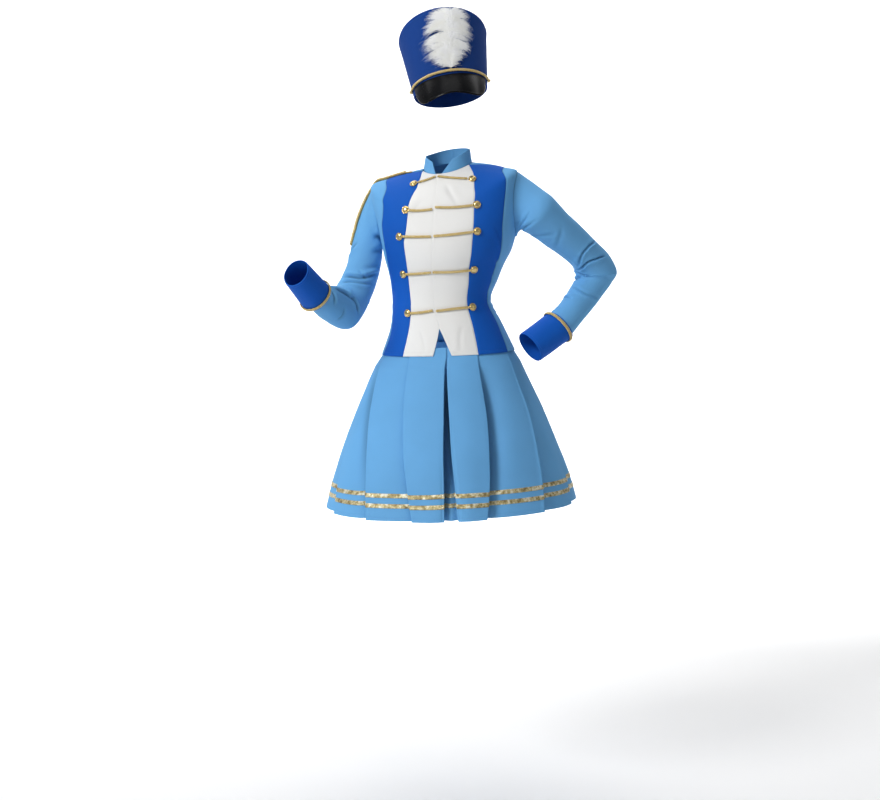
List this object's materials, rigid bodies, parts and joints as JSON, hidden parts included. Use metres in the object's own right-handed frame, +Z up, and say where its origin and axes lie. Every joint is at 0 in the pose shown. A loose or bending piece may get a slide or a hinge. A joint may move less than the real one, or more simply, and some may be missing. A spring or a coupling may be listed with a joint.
{
  "type": "majorette costume, dress with matching shako hat",
  "caption": "Worn jacket-bodice dress with pleated flared skirt, braided white plastron and turned-up cuffs, and a matching plumed shako hat; hollow, open at neck, cuffs and hem.",
  "frame": {"origin": "middle of the neck opening, where the wearer's neck and shoulders hold the costume up", "axes": "+Z up, the front faces -Y, +X is the wearer's left"},
  "size_m": [0.805, 0.5951, 1.2168],
  "materials": {
    "cloth_blue": "smooth polyester gabardine, light blue, matt with a faint sheen",
    "cloth_royal": "smooth polyester gabardine, royal blue",
    "cloth_white": "smooth polyester gabardine, white",
    "gold_braid": "twisted braid of metallised gold yarn",
    "gold_ribbon": "flat crinkled ribbon woven from gold foil yarn",
    "gold_button": "domed, rimmed, gold metallised",
    "cloth_hat": "royal blue felt-like cloth over stiff board",
    "patent": "black patent, mirror smooth",
    "feather": "soft white feather barbs"
  },
  "bodies": {
    "root": {"plastron_right": "cloth_white", "plastron_left": "cloth_white", "royal_panel_right": "cloth_royal", "royal_panel_left": "cloth_royal", "side_front_right": "cloth_blue", "side_front_left": "cloth_blue", "back": "cloth_blue", "collar_left": "cloth_blue", "collar_right": "cloth_blue", "sleeve_left_upper": "cloth_blue", "sleeve_left_lower": "cloth_blue", "cuff_left": "cloth_royal", "sleeve_right_upper": "cloth_blue", "sleeve_right_lower": "cloth_blue", "cuff_right": "cloth_royal", "cuff_trim_left": "gold_braid", "cuff_trim_right": "gold_braid", "button_right_1": "gold_button", "braid_right_1": "gold_braid", "button_left_1": "gold_button", "braid_left_1": "gold_braid", "button_right_2": "gold_button", "braid_right_2": "gold_braid", "button_left_2": "gold_button", "braid_left_2": "gold_braid", "button_right_3": "gold_button", "braid_right_3": "gold_braid", "button_left_3": "gold_button", "braid_left_3": "gold_braid", "button_right_4": "gold_button", "braid_right_4": "gold_braid", "button_left_4": "gold_button", "braid_left_4": "gold_braid", "button_right_5": "gold_button", "braid_right_5": "gold_braid", "button_left_5": "gold_button", "braid_left_5": "gold_braid", "shoulder_cord": "gold_braid", "skirt": "cloth_blue", "hem_ribbon_upper": "gold_ribbon", "hem_ribbon_lower": "gold_ribbon", "hat_side": "cloth_hat", "hat_top": "cloth_hat", "visor": "patent", "hat_cord": "gold_braid", "plume": "feather"}
  },
  "joints": []
}
